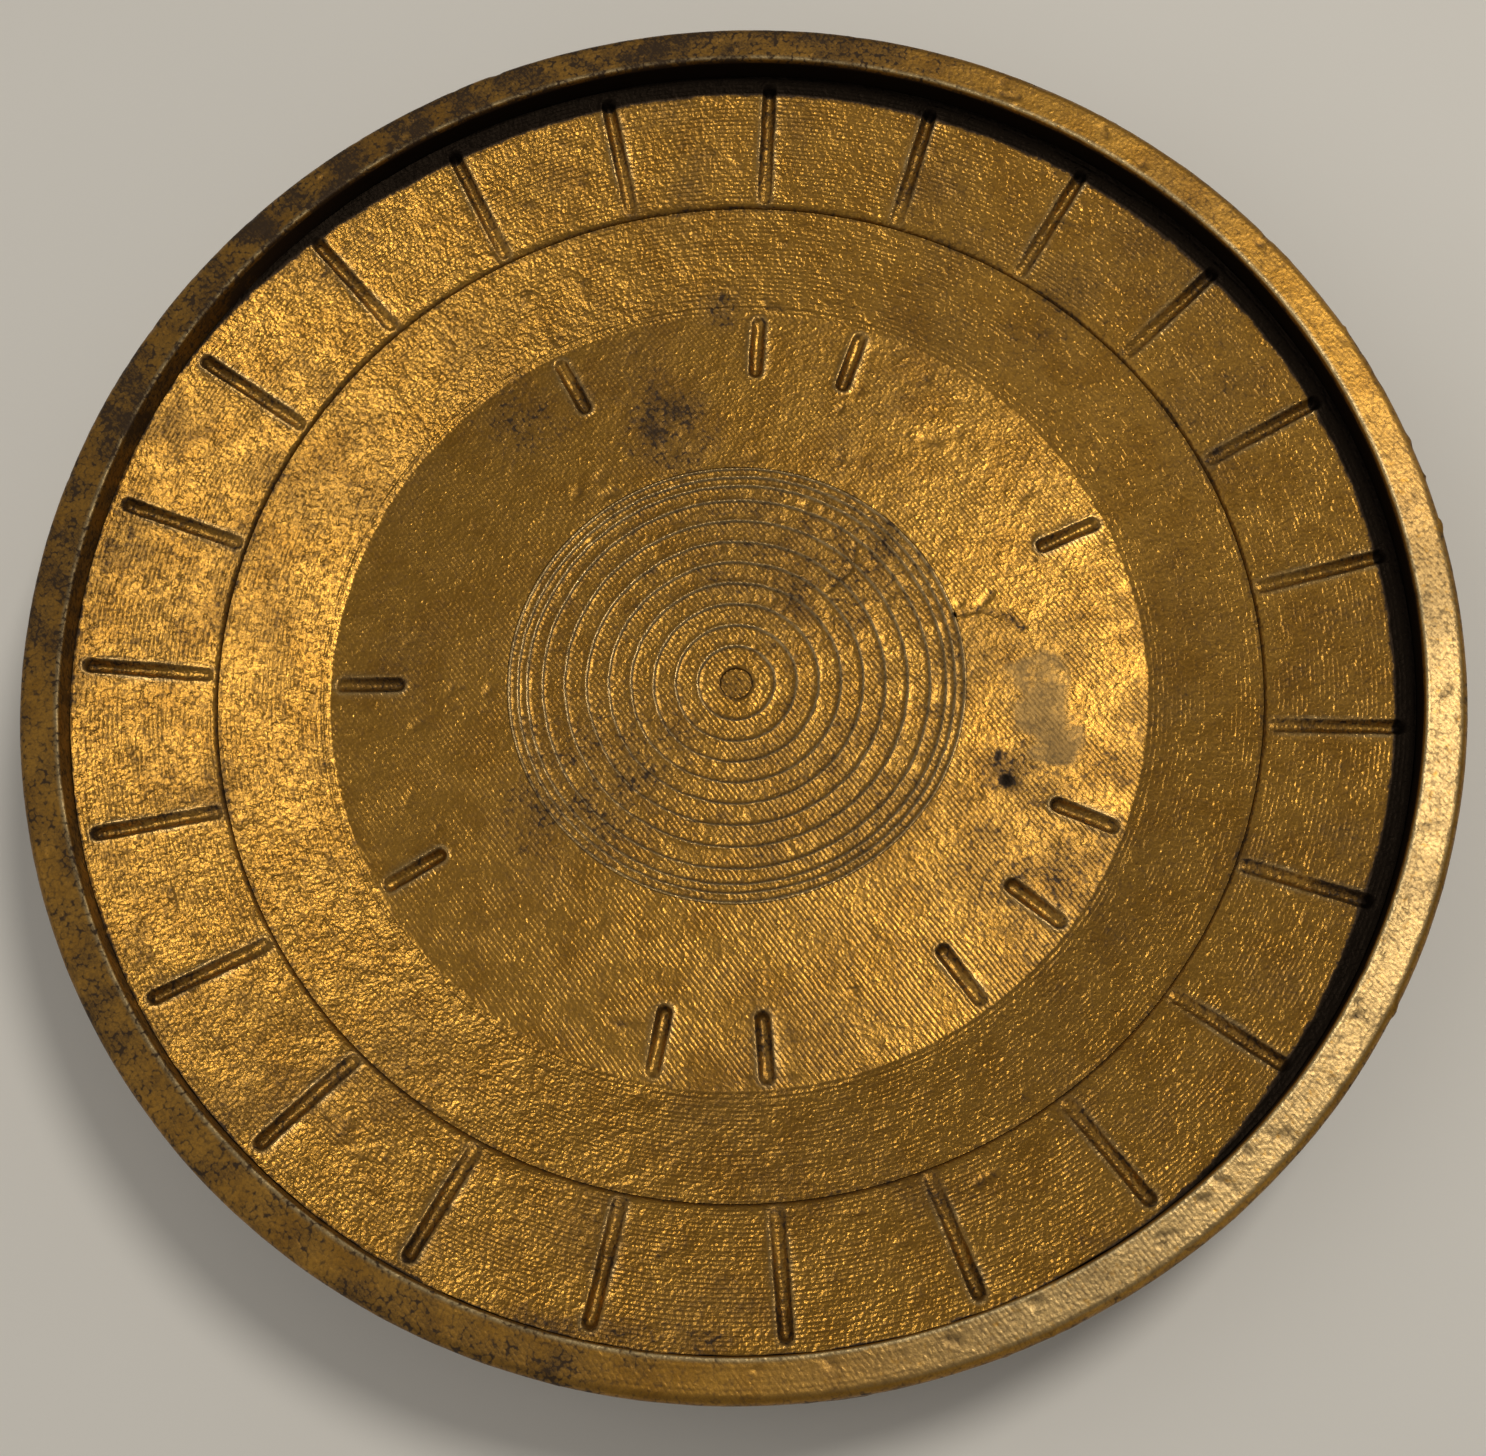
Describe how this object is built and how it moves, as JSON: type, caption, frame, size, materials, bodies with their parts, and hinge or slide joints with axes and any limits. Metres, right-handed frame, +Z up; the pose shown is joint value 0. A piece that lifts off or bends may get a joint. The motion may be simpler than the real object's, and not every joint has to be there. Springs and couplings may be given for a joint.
{
  "type": "garden sundial",
  "caption": "Dished bronze dial with a raised rim, a sloping ring of long radial grooves, short inner slots and a shallow stepped centre, screwed together from below.",
  "frame": {"origin": "centre of the resting face, on the dial's axis", "axes": "+Z up along the dial's axis, out of the face; +Y through the first long groove; the other grooves are counted anticlockwise seen from +Z"},
  "size_m": [0.15, 0.15, 0.0203],
  "materials": {
    "bronze_body": "as-cast bronze, brown patina",
    "bronze_face": "as-cast bronze, golden, fine diagonal print lines",
    "bronze_ring": "as-cast bronze, golden, fine concentric print lines",
    "bronze_rim": "as-cast bronze, golden with dark brown patina",
    "bronze_centre": "as-cast bronze, stepped",
    "bronze_plug": "as-cast bronze, darker",
    "brass_washer": "plain brass",
    "steel": "plain stainless steel"
  },
  "bodies": {
    "root": {"dish_body": "bronze_body", "dial_plate": "bronze_face", "chapter_ring": "bronze_ring", "rim_ring": "bronze_rim", "centre_dish": "bronze_centre", "centre_plug": "bronze_plug", "centre_screw": "steel", "centre_washer": "brass_washer", "ring_screws": "steel", "rim_screws": "steel", "plate_pin": "steel", "ring_pin": "steel"}
  },
  "joints": []
}
